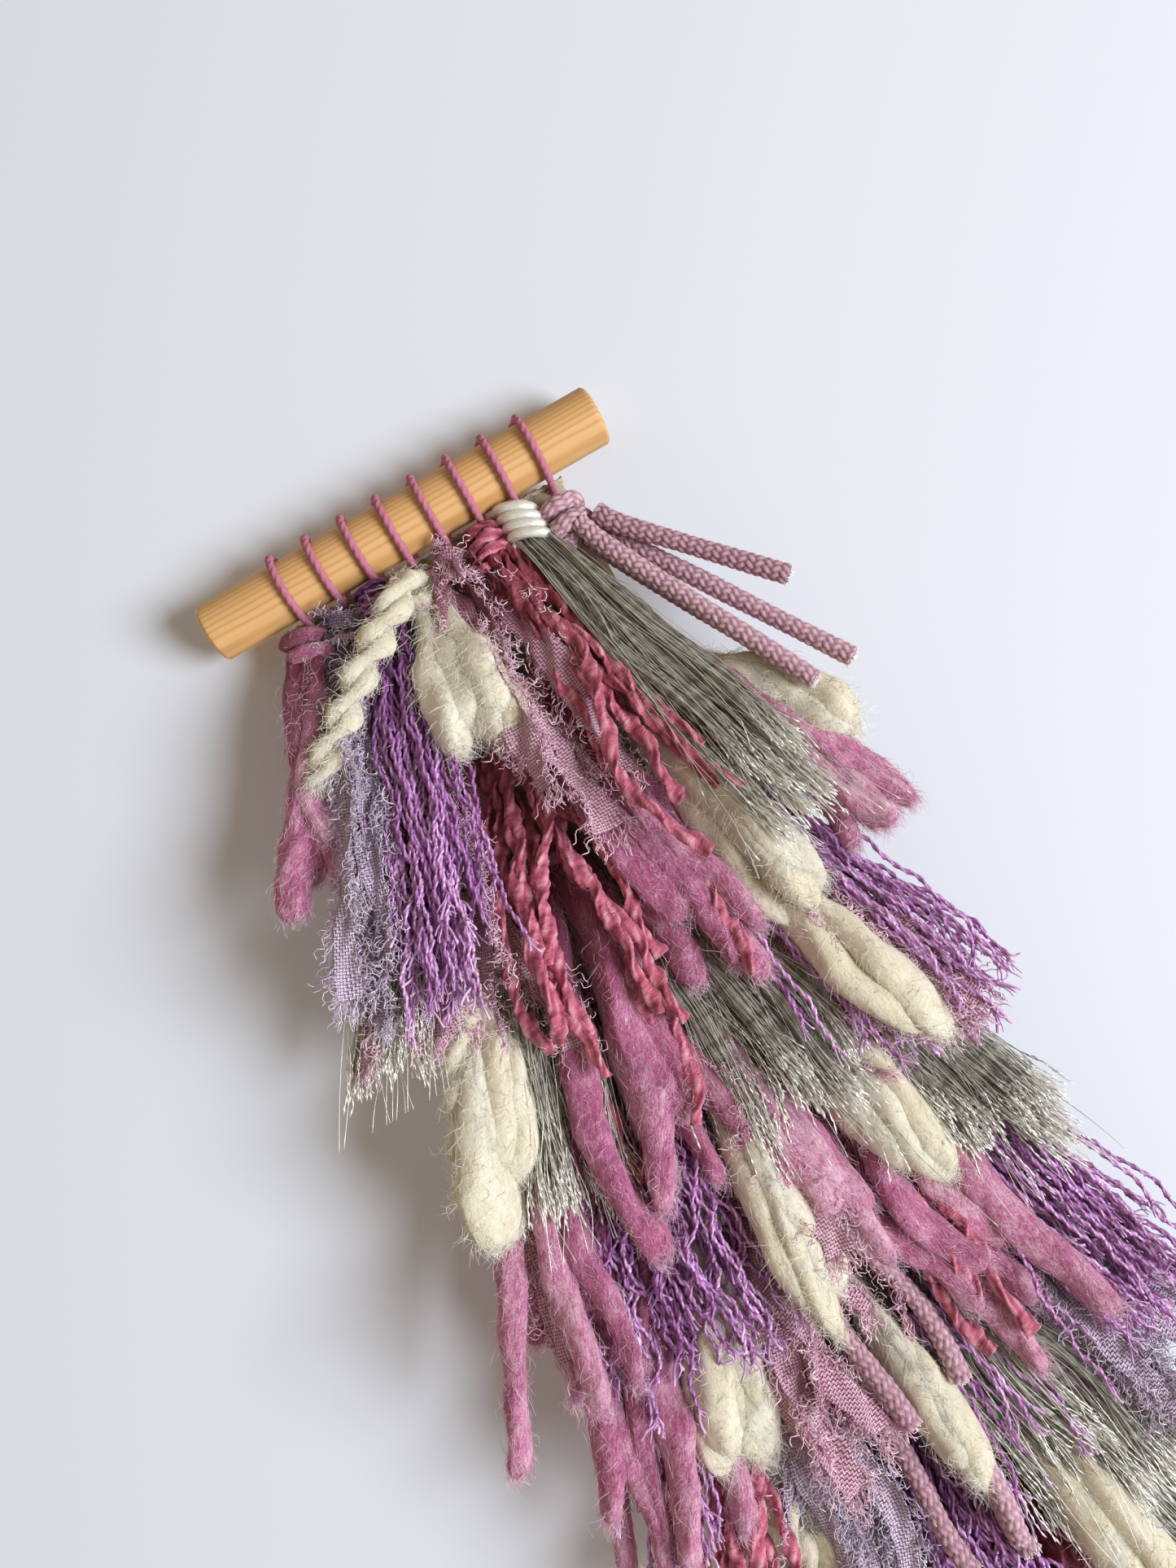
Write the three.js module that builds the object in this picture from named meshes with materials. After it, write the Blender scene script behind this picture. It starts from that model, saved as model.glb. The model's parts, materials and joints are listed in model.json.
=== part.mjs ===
// Tapestry wall hanging: a pine dowel, a woven cotton band laced under it, and ten rows of
// knotted tassels that overlap like shingles. Millimetres, +Z up, X along the dowel, and the
// front faces -Y. The origin is the dowel's centre, where the hanging is held up.

import * as THREE from 'three';

// ---------- driving dimensions ----------

const DOWEL = { length: 145, diameter: 20, chamfer: 0.8 };
const LACING = { diameter: 2.5, passes: 8, firstX: -43.5, lastX: 48.5, clearance: 0.35 };
const BAND = { width: 104, thickness: 3, front: 4, top: -11, tail: 12 };
const EYELET = { diameter: 5.2, sides: 6, belowEdge: 3.7 };
const ROW = { count: 10, firstZ: -21.5, pitch: 48, hingeY: -3.5, lean: 16 };
const TASSEL = { thickness: 11.4, length: 126, edgeThinning: 0.3, tipRounding: 0.07, sideGap: 0.9 };
const FAN = { rootHalf: 55, tipHalfTop: 124, tipHalfBottom: 100 };
const BRAID = { diameter: 6, sides: 8, steps: 8, layer: 3.3, start: 9.5, knotGap: 1 };
const RADIANS = Math.PI / 180;

// What each tassel is made of, row by row, from left to right as seen from the front.
const ROWS = [
  ['wool', 'lilac_linen', 'purple_yarn', 'roving', 'mauve_linen', 'rose_ribbon', 'silver_thread', 'braid'],
  ['silver_thread', 'mauve_linen', 'rose_ribbon', 'wool', 'roving', 'wool'],
  ['roving', 'silver_thread', 'wool', 'silver_thread', 'mauve_linen', 'purple_yarn'],
  ['wool', 'purple_yarn', 'wool', 'roving', 'silver_thread'],
  ['wool', 'roving', 'mauve_linen', 'braid', 'wool', 'purple_yarn'],
  ['rose_ribbon', 'lilac_linen', 'braid', 'silver_thread', 'lilac_linen'],
  ['roving', 'silver_thread', 'purple_yarn', 'roving', 'silver_thread'],
  ['wool', 'mauve_linen', 'rose_ribbon', 'wool'],
  ['silver_thread', 'purple_yarn', 'roving', 'mauve_linen'],
  ['lilac_linen', 'wool', 'silver_thread', 'purple_yarn'],
];

// ---------- materials ----------

const LOOKS = {
  pine: { color: 0xe6bd84, roughness: 0.55 },
  lacing: { color: 0xbe6ea0, roughness: 0.7 },
  cotton: { color: 0xe6ddc8, roughness: 0.95 },
  wool: { color: 0xb95f8c, roughness: 1.0 },
  lilac_linen: { color: 0xb4a0c8, roughness: 0.95 },
  mauve_linen: { color: 0xbe78a0, roughness: 0.95 },
  purple_yarn: { color: 0x8c5aaa, roughness: 0.6 },
  roving: { color: 0xe8e0c8, roughness: 1.0 },
  rose_ribbon: { color: 0xb94b69, roughness: 0.5 },
  silver_thread: { color: 0x8c8a80, roughness: 0.35 },
  braid: { color: 0xa57d91, roughness: 0.9 },
};

function material(look) {
  const metalness = look === 'silver_thread' ? 0.5 : 0;
  return new THREE.MeshStandardMaterial({ ...LOOKS[look], metalness });
}

function addMesh(parent, name, geometry, look) {
  const mesh = new THREE.Mesh(geometry, material(look));
  mesh.name = name;
  parent.add(mesh);
  return mesh;
}

// ---------- dowel ----------

function dowelGeometry() {
  const radius = DOWEL.diameter / 2;
  const half = DOWEL.length / 2;
  const profile = [
    new THREE.Vector2(0, -half),
    new THREE.Vector2(radius - DOWEL.chamfer, -half),
    new THREE.Vector2(radius, -half + DOWEL.chamfer),
    new THREE.Vector2(radius, half - DOWEL.chamfer),
    new THREE.Vector2(radius - DOWEL.chamfer, half),
    new THREE.Vector2(0, half),
  ];
  return new THREE.LatheGeometry(profile, 36).rotateZ(-Math.PI / 2);
}

// ---------- lacing cord ----------

function passX(index) {
  const share = index / (LACING.passes - 1);
  return LACING.firstX + share * (LACING.lastX - LACING.firstX);
}

function eyeletZ() {
  return BAND.top - EYELET.belowEdge;
}

// A section of the cord's way round the dowel: angles are seen from the right-hand end, from
// straight back, over the top, to the front and under it.
function lacingPath() {
  const radius = DOWEL.diameter / 2 + LACING.diameter / 2 + LACING.clearance;
  const eyeletY = BAND.front + BAND.thickness / 2;
  const behindY = BAND.front + BAND.thickness + LACING.diameter / 2 + 0.6;
  const points = [];
  for (let pass = 0; pass < LACING.passes; pass += 1) {
    const x = passX(pass);
    const previousX = pass === 0 ? x : passX(pass - 1);
    for (const degrees of [0, 30, 60, 90]) {
      const angle = degrees * RADIANS;
      const share = 0.25 + (0.75 * degrees) / 90;
      const along = previousX + (x - previousX) * share;
      points.push(new THREE.Vector3(along, radius * Math.cos(angle), radius * Math.sin(angle)));
    }
    for (const degrees of [120, 150, 180, 210, 238]) {
      const angle = degrees * RADIANS;
      points.push(new THREE.Vector3(x, radius * Math.cos(angle), radius * Math.sin(angle)));
    }
    points.push(new THREE.Vector3(x, eyeletY - 4.5, eyeletZ() + 1.7));
    points.push(new THREE.Vector3(x, eyeletY, eyeletZ()));
    points.push(new THREE.Vector3(x, behindY + 0.6, eyeletZ() - 0.2));
    if (pass < LACING.passes - 1) {
      const step = passX(pass + 1) - x;
      points.push(new THREE.Vector3(x + 0.08 * step, radius + 0.2, eyeletZ() + 4));
    } else {
      points.push(new THREE.Vector3(x, behindY + 1.4, eyeletZ() - 4));
    }
  }
  return new THREE.CatmullRomCurve3(points, false, 'centripetal');
}

// Adds a regular polygon with a corner straight out on its +X side to an empty path or shape.
function polygonPath(path, centreX, centreY, diameter, sides) {
  for (let side = 0; side < sides; side += 1) {
    const angle = (2 * Math.PI * side) / sides;
    const x = centreX + (diameter / 2) * Math.cos(angle);
    const y = centreY + (diameter / 2) * Math.sin(angle);
    if (side === 0) path.moveTo(x, y);
    else path.lineTo(x, y);
  }
  path.closePath();
  return path;
}

function tubeGeometry(path, diameter, sides, steps) {
  const section = polygonPath(new THREE.Shape(), 0, 0, diameter, sides);
  return new THREE.ExtrudeGeometry(section, { steps, extrudePath: path, bevelEnabled: false });
}

// ---------- woven band ----------

function bandBottom() {
  return ROW.firstZ - (ROW.count - 1) * ROW.pitch - BAND.tail;
}

// One cloth with an eyelet gap between its threads for each pass of the lacing cord.
function bandGeometry() {
  const half = BAND.width / 2;
  const outline = new THREE.Shape();
  outline.moveTo(-half, bandBottom());
  outline.lineTo(half, bandBottom());
  outline.lineTo(half, BAND.top);
  outline.lineTo(-half, BAND.top);
  outline.closePath();
  for (let pass = 0; pass < LACING.passes; pass += 1) {
    const gap = new THREE.Path();
    outline.holes.push(polygonPath(gap, passX(pass), eyeletZ(), EYELET.diameter, EYELET.sides));
  }
  const geometry = new THREE.ExtrudeGeometry(outline, { depth: BAND.thickness, bevelEnabled: false });
  geometry.rotateX(Math.PI / 2);
  geometry.translate(0, BAND.front + BAND.thickness, 0);
  return geometry;
}

// ---------- tassels ----------

// The fan's left and right limits at the tips grow smaller from the top row to the bottom one.
function tipHalf(row) {
  const share = row / (ROW.count - 1);
  return FAN.tipHalfTop + share * (FAN.tipHalfBottom - FAN.tipHalfTop);
}

// The boundary between two tassels of a row, at a distance down from the knots.
function boundaryX(row, share, down) {
  const side = 2 * share - 1;
  return side * (FAN.rootHalf + ((tipHalf(row) - FAN.rootHalf) * down) / TASSEL.length);
}

// A soft slab with a round top about its row's knots. Its side edges are thinner than its
// middle, and its lower corners are rounded off.
function slabGeometry(edgeAt, length) {
  const radius = TASSEL.thickness / 2;
  const profile = new THREE.Shape();
  profile.absarc(0, 0, radius, 0, Math.PI, false);
  profile.absarc(0, -(length - radius), radius, Math.PI, 2 * Math.PI, false);
  profile.closePath();
  const options = { depth: 1, steps: 4, curveSegments: 2, bevelEnabled: false };
  const geometry = new THREE.ExtrudeGeometry(profile, options);
  const position = geometry.attributes.position;
  for (let index = 0; index < position.count; index += 1) {
    const share = position.getZ(index);
    const off = (2 * share - 1) ** 2;
    const y = position.getX(index) * (1 - TASSEL.edgeThinning * off);
    const height = position.getY(index);
    const z = height < 0 ? height * (1 - TASSEL.tipRounding * off) : height;
    position.setXYZ(index, edgeAt(share, -z), y, z);
  }
  return geometry;
}

// The two side edges of one tassel's place in its row's fan.
function fanEdges(row, index, count) {
  return (share, down) => {
    const left = boundaryX(row, index / count, down) + TASSEL.sideGap / 2;
    const right = boundaryX(row, (index + 1) / count, down) - TASSEL.sideGap / 2;
    return left + share * (right - left);
  };
}

function tasselGeometry(row, index, count) {
  return slabGeometry(fanEdges(row, index, count), TASSEL.length);
}

// The braided tassel at the top row's right end: a looped knot, and four cut cord ends that
// leave it side by side and fan out. Side and layer say where each one leaves the knot.
const BRAID_ENDS = [
  { side: -1, layer: -1, reachX: 32, reachDown: 84 },
  { side: 1, layer: -1, reachX: 43, reachDown: 51 },
  { side: -1, layer: 1, reachX: 30, reachDown: 74 },
  { side: 1, layer: 1, reachX: 47, reachDown: 82 },
];

function braidKnotGeometry() {
  const last = ROWS[0].length - 1;
  return slabGeometry(fanEdges(0, last, ROWS[0].length), BRAID.start - BRAID.knotGap);
}

function braidPath(end) {
  const lastShare = (ROWS[0].length - 0.5) / ROWS[0].length;
  const centre = boundaryX(0, lastShare, BRAID.start);
  const startX = centre + end.side * BRAID.layer;
  const endX = centre + end.reachX;
  const y = end.layer * BRAID.layer;
  const at = (across, along) =>
    new THREE.Vector3(startX + across * (endX - startX), y, -BRAID.start - along * end.reachDown);
  const points = [at(0, 0), at(0.06, 0.1), at(0.45, 0.48), at(1, 1)];
  return new THREE.CatmullRomCurve3(points, false, 'centripetal');
}

function addBraidTassel(rowGroup) {
  addMesh(rowGroup, 'row_01_braid_knot', braidKnotGeometry(), 'braid');
  BRAID_ENDS.forEach((end, index) => {
    const geometry = tubeGeometry(braidPath(end), BRAID.diameter, BRAID.sides, BRAID.steps);
    addMesh(rowGroup, `row_01_braid_cord_${index + 1}`, geometry, 'braid');
  });
}

function twoDigits(number) {
  return String(number).padStart(2, '0');
}

// A row turns about its line of knots: its group's origin is on that line, and the group
// leans out from the band so that each row lies on the one below.
function addRow(parent, row) {
  const group = new THREE.Group();
  group.position.set(0, ROW.hingeY, ROW.firstZ - row * ROW.pitch);
  group.rotation.x = -ROW.lean * RADIANS;
  const kinds = ROWS[row];
  kinds.forEach((kind, index) => {
    if (row === 0 && kind === 'braid') {
      addBraidTassel(group);
      return;
    }
    const name = `row_${twoDigits(row + 1)}_${twoDigits(index + 1)}_${kind}`;
    addMesh(group, name, tasselGeometry(row, index, kinds.length), kind);
  });
  parent.add(group);
}

// ---------- assembly ----------

function buildHanging() {
  const hanging = new THREE.Group();
  addMesh(hanging, 'dowel', dowelGeometry(), 'pine');
  const lacingSteps = LACING.passes * 16;
  addMesh(hanging, 'lacing_cord', tubeGeometry(lacingPath(), LACING.diameter, 8, lacingSteps), 'lacing');
  addMesh(hanging, 'woven_band', bandGeometry(), 'cotton');
  for (let row = 0; row < ROW.count; row += 1) addRow(hanging, row);
  return hanging;
}

export default buildHanging();
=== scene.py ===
"""A tapestry wall hanging: yarn, linen, ribbon and thread tassels on a band laced under a dowel.

Sizes are in millimetres until a mesh is made. Every tassel fills the place of its CAD solid
and rides on its row. A row leans out from the band: "down" runs along it from its knots to
its tips, and "out" is square to it, towards the front.
"""

import json
import math

import bpy
import numpy as np
from mathutils import Matrix, Vector


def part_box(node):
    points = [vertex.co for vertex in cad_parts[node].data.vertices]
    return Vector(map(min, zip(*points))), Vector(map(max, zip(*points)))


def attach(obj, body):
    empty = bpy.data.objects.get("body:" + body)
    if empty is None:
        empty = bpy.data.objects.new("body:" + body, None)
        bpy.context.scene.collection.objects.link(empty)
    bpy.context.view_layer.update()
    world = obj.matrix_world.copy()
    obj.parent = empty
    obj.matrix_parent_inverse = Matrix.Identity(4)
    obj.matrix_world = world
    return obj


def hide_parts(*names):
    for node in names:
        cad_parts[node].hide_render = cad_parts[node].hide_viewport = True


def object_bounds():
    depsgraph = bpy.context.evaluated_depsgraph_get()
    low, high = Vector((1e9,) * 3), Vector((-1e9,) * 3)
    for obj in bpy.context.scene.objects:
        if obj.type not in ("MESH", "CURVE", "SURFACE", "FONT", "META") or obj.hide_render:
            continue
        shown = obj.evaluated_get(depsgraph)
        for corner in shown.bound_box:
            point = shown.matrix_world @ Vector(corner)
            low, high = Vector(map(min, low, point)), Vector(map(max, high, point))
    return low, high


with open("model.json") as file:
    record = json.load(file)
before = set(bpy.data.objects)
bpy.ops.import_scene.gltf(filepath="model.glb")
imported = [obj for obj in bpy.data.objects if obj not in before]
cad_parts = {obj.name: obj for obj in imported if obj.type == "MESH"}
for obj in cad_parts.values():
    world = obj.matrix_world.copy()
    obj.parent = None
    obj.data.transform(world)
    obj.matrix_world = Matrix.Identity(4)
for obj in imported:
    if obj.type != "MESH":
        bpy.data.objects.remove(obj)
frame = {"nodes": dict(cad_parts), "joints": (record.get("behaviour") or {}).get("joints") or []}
CAD_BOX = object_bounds()

MM = 0.001
TAU = 2 * math.pi
# How far a row leans out from the band, and how long it is from its knots to its tips.
LEAN = math.radians(16)
ROW_LENGTH = 126.0
# Strands whose tips are further from the middle than this only stray inwards.
CROWDED_HALF = 85.0
# No strand stands out further than this from its row's middle layer.
DEEPEST = 11.0
# Half the width of the widest knot, and how much of its front depth a knot has behind.
WIDEST_NECK = 7.0
KNOT_FLATNESS = 0.35
# The top row's knots start higher and are longer, so that they reach up to the dowel.
TOP_KNOT_RISE = 2.8
TOP_KNOT_STRETCH = 1.2
# A row's odd tassels stand a little in front of its even ones.
ODD_FORWARD = 1.3
EVEN_FORWARD = -0.9
# How many loose hairs lie over a strand of wool, a puff of roving, a slub's strand and a knot.
WOOL_HAIRS = 430
ROVING_HAIRS = 1250
SLUB_HAIRS = 700
KNOT_HAIRS = 240
# A direction that no strand follows, for turning the sections of hairs and frays.
ASKEW = (0.31, -0.83, 0.47)
# Where each body's hinge line lies: its y and z.
HINGES = {
    joint["child"]: (joint["pos_m"][1] / MM, joint["pos_m"][2] / MM)
    for joint in frame["joints"]
}


def box_in_mm(node):
    return (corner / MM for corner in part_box(node))


def add_object(name, data):
    made = bpy.data.objects.new(name, data)
    bpy.context.scene.collection.objects.link(made)
    return made


# ---------- camera ----------

CAMERA_LENS = 26.0
CAMERA_DISTANCE = 372.0
CAMERA_AIM = (10.0, -104.0)
CAMERA_ROLL = math.radians(29.8)


def add_camera():
    """Looks straight at the front, turned so that the dowel climbs to the right."""
    data = bpy.data.cameras.new("camera")
    data.lens = CAMERA_LENS
    data.sensor_width = 36.0
    data.clip_start = 0.01
    camera = add_object("camera", data)
    low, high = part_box("dowel")
    centre = (low + high) / 2
    right = Vector((math.cos(CAMERA_ROLL), 0, -math.sin(CAMERA_ROLL)))
    up = Vector((math.sin(CAMERA_ROLL), 0, math.cos(CAMERA_ROLL)))
    back = Vector((0, -1, 0))
    place = Matrix((right, up, back)).transposed().to_4x4()
    offset = Vector((CAMERA_AIM[0], -CAMERA_DISTANCE, CAMERA_AIM[1])) * MM
    place.translation = centre + offset
    camera.matrix_world = place
    bpy.context.scene.camera = camera


add_camera()


# ---------- tubes and meshes ----------

def xyz(x, y, z):
    return np.stack(np.broadcast_arrays(x, y, z), axis=-1)


def unit(vectors):
    size = np.linalg.norm(vectors, axis=-1, keepdims=True)
    return vectors / np.maximum(size, 1e-9)


def section_frames(paths, reference):
    """Directions square to each path that turn as little as they can along it."""
    tangents = unit(np.gradient(paths, axis=1))
    across = np.empty_like(paths)
    start = np.broadcast_to(np.asarray(reference, float), tangents[:, 0].shape)
    aligned = np.abs((start * tangents[:, 0]).sum(-1, keepdims=True)) > 0.9
    previous = np.where(aligned, np.array([0.3, -0.8, 0.5]), start)
    for step in range(paths.shape[1]):
        tangent = tangents[:, step]
        flat = previous - (previous * tangent).sum(-1, keepdims=True) * tangent
        previous = unit(flat)
        across[:, step] = previous
    return across, np.cross(tangents, across)


def path_lengths(paths):
    steps = np.linalg.norm(np.diff(paths, axis=1), axis=-1)
    zero = np.zeros((len(paths), 1))
    return np.concatenate([zero, np.cumsum(steps, axis=1)], axis=1)


def corner_angles(sides):
    return np.arange(sides) * TAU / sides


def circle(sides):
    angles = corner_angles(sides)
    return np.stack([np.cos(angles), np.sin(angles)], axis=-1)


class Skein:
    """Gathers closed tubes and makes one mesh of them."""

    def __init__(self):
        self.points = []
        self.tones = []
        self.alongs = []
        self.faces = []
        self.count = 0

    def tubes(
        self, paths, radii, section, tone=0.5, material=0, spin=None, reference=(1, 0, 0), wide=None
    ):
        """Sweeps a section along each path. section is (sides, 2) or (paths, steps, sides, 2) in radii,
        spin turns it, and wide gives each corner's distance across for the pattern on it."""
        amount, steps = paths.shape[:2]
        across, square = section_frames(paths, reference)
        shape = np.broadcast_to(section, (amount, steps) + np.shape(section)[-2:])
        a, b = shape[..., 0], shape[..., 1]
        if spin is not None:
            cos, sin = np.cos(spin)[..., None], np.sin(spin)[..., None]
            a, b = a * cos - b * sin, a * sin + b * cos
        size = np.broadcast_to(radii, (amount, steps))[..., None, None]
        offsets = a[..., None] * across[:, :, None] + b[..., None] * square[:, :, None]
        spots = paths[:, :, None] + size * offsets
        sides = spots.shape[2]
        lengths = path_lengths(paths)
        self._keep(spots, lengths, tone)
        self._walls(amount, steps, sides, lengths, material, wide)
        self._caps(amount, steps, sides, material)
        self.count += amount * steps * sides
        return spots

    def _keep(self, spots, lengths, tone):
        amount, steps, sides = spots.shape[:3]
        whole = np.maximum(lengths[:, -1:], 1e-6)
        along = np.repeat((lengths / whole)[..., None], sides, axis=2)
        tones = np.asarray(tone, float)
        if tones.ndim == 1:
            tones = tones[:, None, None]
        self.points.append(spots.reshape(-1, 3))
        self.tones.append(np.broadcast_to(tones, (amount, steps, sides)).ravel())
        self.alongs.append(along.ravel())

    def _walls(self, amount, steps, sides, lengths, material, wide):
        index = np.arange(amount * steps * sides).reshape(amount, steps, sides) + self.count
        nxt = np.roll(index, -1, axis=2)
        quads = np.stack([index[:, :-1], nxt[:, :-1], nxt[:, 1:], index[:, 1:]], axis=-1)
        if wide is None:
            wide = np.arange(sides + 1) / sides
        low, high = np.broadcast_to(wide[:-1], index.shape), np.broadcast_to(wide[1:], index.shape)
        rise = np.broadcast_to(lengths[..., None], index.shape)
        first, last = rise[:, :-1], rise[:, 1:]
        u = np.stack([low[:, :-1], high[:, :-1], high[:, 1:], low[:, 1:]], axis=-1)
        v = np.stack([first, first, last, last], axis=-1)
        self.faces.append((quads.reshape(-1, 4), np.stack([u, v], axis=-1).reshape(-1, 4, 2), material))

    def _caps(self, amount, steps, sides, material):
        index = np.arange(amount * steps * sides).reshape(amount, steps, sides) + self.count
        ends = np.concatenate([index[:, 0, ::-1], index[:, -1]])
        self.faces.append((ends, np.zeros(ends.shape + (2,)), material))

    def make(self, name, materials, slot, body, nodes=()):
        """Makes the object, parents it to its body and hides the CAD parts it stands for."""
        points = np.concatenate(self.points) * MM
        mesh = bpy.data.meshes.new(name)
        mesh.vertices.add(len(points))
        mesh.vertices.foreach_set("co", points.ravel())
        corners = np.concatenate([faces.ravel() for faces, _, _ in self.faces])
        sizes = np.concatenate([np.full(len(faces), faces.shape[1]) for faces, _, _ in self.faces])
        mesh.loops.add(len(corners))
        mesh.loops.foreach_set("vertex_index", corners.astype(np.int32))
        mesh.polygons.add(len(sizes))
        starts = np.concatenate([[0], np.cumsum(sizes)[:-1]])
        mesh.polygons.foreach_set("loop_start", starts.astype(np.int32))
        mesh.polygons.foreach_set("use_smooth", np.ones(len(sizes), bool))
        looks = np.concatenate([np.full(len(faces), material) for faces, _, material in self.faces])
        mesh.polygons.foreach_set("material_index", looks.astype(np.int32))
        layer = mesh.uv_layers.new(name="yarn")
        mesh.update(calc_edges=True)
        uvs = np.concatenate([uv.reshape(-1, 2) for _, uv, _ in self.faces])
        layer.data.foreach_set("uv", uvs.astype(np.float32).ravel())
        for label, values in (("tone", self.tones), ("along", self.alongs)):
            attribute = mesh.attributes.new(label, "FLOAT", "POINT")
            attribute.data.foreach_set("value", np.concatenate(values).astype(np.float32))
        for material in materials:
            mesh.materials.append(material)
        piece = add_object(name, mesh)
        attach(piece, body)
        if nodes:
            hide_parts(*nodes)
        return piece


# ---------- where tassels are ----------

class Place:
    """A tassel's place in its row, read from its CAD solid."""

    def __init__(self, node, lean=0.0, length=ROW_LENGTH, forward=0.0):
        self.node = node
        self.row = node[:6]
        points = np.array([vertex.co for vertex in frame["nodes"][node].data.vertices]) / MM
        # The solid is measured at its line of knots and in its lowest 12 millimetres.
        near_knot = points[:, 2] > HINGES[self.row][1] - 1
        near_tips = points[:, 2] < points[:, 2].min() + 12
        top = points[near_knot, 0]
        bottom = points[near_tips, 0]
        self.root_x = (top.min() + top.max()) / 2
        self.tip_x = (bottom.min() + bottom.max()) / 2 + lean
        self.neck = min((top.max() - top.min()) / 2, WIDEST_NECK)
        self.tip_half = (bottom.max() - bottom.min()) / 2
        self.forward = forward + (ODD_FORWARD if node[8:9] in "1357" else EVEN_FORWARD)
        self.length = length


def spot(row, x, down, out):
    """Points of a row's leaning plane, in the frame's own axes."""
    knot_y, knot_z = HINGES[row]
    sin, cos = math.sin(LEAN), math.cos(LEAN)
    y = knot_y - down * sin - out * cos
    z = knot_z - down * cos + out * sin
    return xyz(x, y, z)


def wander(rng, amount, t, size, waves=3):
    """Smooth random curves that start at nothing."""
    total = np.zeros((amount, len(t)))
    for wave in range(1, waves + 1):
        phase = rng.uniform(0, TAU, (amount, 1))
        height = rng.normal(0, size / wave, (amount, 1))
        total += height * (np.sin(TAU * wave * 0.6 * t + phase) - np.sin(phase))
    return total * np.minimum(1, 2 * t)


def fan(place, rng, shares, layers, lengths, t, sway, spread=1.0, strays=0.0):
    """Paths from one knot to the tips. shares run from -1 to 1 across, and layers through the depth;
    strays is the share of strands that cross over their neighbours."""
    belly, root_depth, added_depth = 2.0, 2.2, 2.6
    amount = len(lengths)
    down = np.outer(lengths, t)
    reach = down / ROW_LENGTH
    side = np.reshape(shares, (amount, -1))
    middle = place.root_x + (place.tip_x - place.root_x) * reach
    half = place.neck * 0.8 + (place.tip_half * spread - place.neck * 0.8) * reach
    astray = (rng.random((amount, 1)) < strays) * rng.normal(0, 10.0, (amount, 1))
    tip = place.tip_x + side[:, -1:] * place.tip_half
    astray = np.where(np.abs(tip) > CROWDED_HALF, -np.sign(tip) * np.abs(astray), astray)
    x = middle + side * half + astray * reach**2 + wander(rng, amount, t, sway)
    depth = root_depth + added_depth * np.minimum(1, 2.5 * t)
    out = np.asarray(layers)[:, None] * depth + belly * np.sin(math.pi * t) - belly * t
    out = out + (place.forward + 0.3 * np.abs(astray)) * np.minimum(1, 2 * t)
    out = out + wander(rng, amount, t, sway * 0.4)
    return spot(place.row, x, down, DEEPEST * np.tanh(out / DEEPEST))


# How each knot is wound: its depth, its turns and how far down each goes, where it starts below
# the hinge line, its tilt, and the steps in a turn.
KNOTS = {
    "wool": (4.0, 2.1, 5.2, -5.6, 0.12, 22),
    "roving": (3.4, 1.6, 7.0, -5.5, 0.1, 22),
    "yarn": (4.4, 5, 2.2, -7.0, -0.1, 22),
    "linen": (3.8, 1.6, 5.6, -5.5, 0.25, 40),
    "ribbon": (4.2, 3.4, 3.5, -6.3, -0.2, 44),
    "thread": (4.8, 4.3, 3.0, -6.3, 0.35, 30),
    "braid": (3.2, 1.6, 6.8, -5.0, 0.1, 50),
    "top_braid": (3.4, 2.2, 5.8, -2.0, -0.25, 60),
}


def knot_helix(kind, place, width):
    """One strand wound round a tassel's neck and flat behind it, where it lies against the band;
    the top row's reach up to the dowel."""
    depth, turns, pitch, start, tilt, steps = KNOTS[kind]
    if place.row == "row_01":
        start, pitch = start - TOP_KNOT_RISE, pitch * TOP_KNOT_STRETCH
    angle = np.linspace(0, TAU * turns, int(steps * turns) + 1) + math.pi / 2
    x = width * np.cos(angle)
    down = start + pitch * angle / TAU + x * math.sin(tilt)
    out = -depth * np.sin(angle)
    out = np.where(out < 0, KNOT_FLATNESS * out, out)
    return spot(place.row, place.root_x + x * math.cos(tilt), down, out)[None]


# ---------- kinds of yarn ----------

def harmonics(rng, amount, rise, angles, terms):
    """A lumpy radius: a sum of waves, each with its times round, wavelength and height."""
    total = np.zeros((amount, rise.shape[1], len(angles)))
    for times, wavelength, height in terms:
        phase = rng.uniform(0, TAU, (2, amount, 1, 1))
        swing = np.sin(TAU * rise / wavelength + phase[0])
        total = total + height * np.sin(times * angles + 1.3 * swing + phase[1])
    return total


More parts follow.
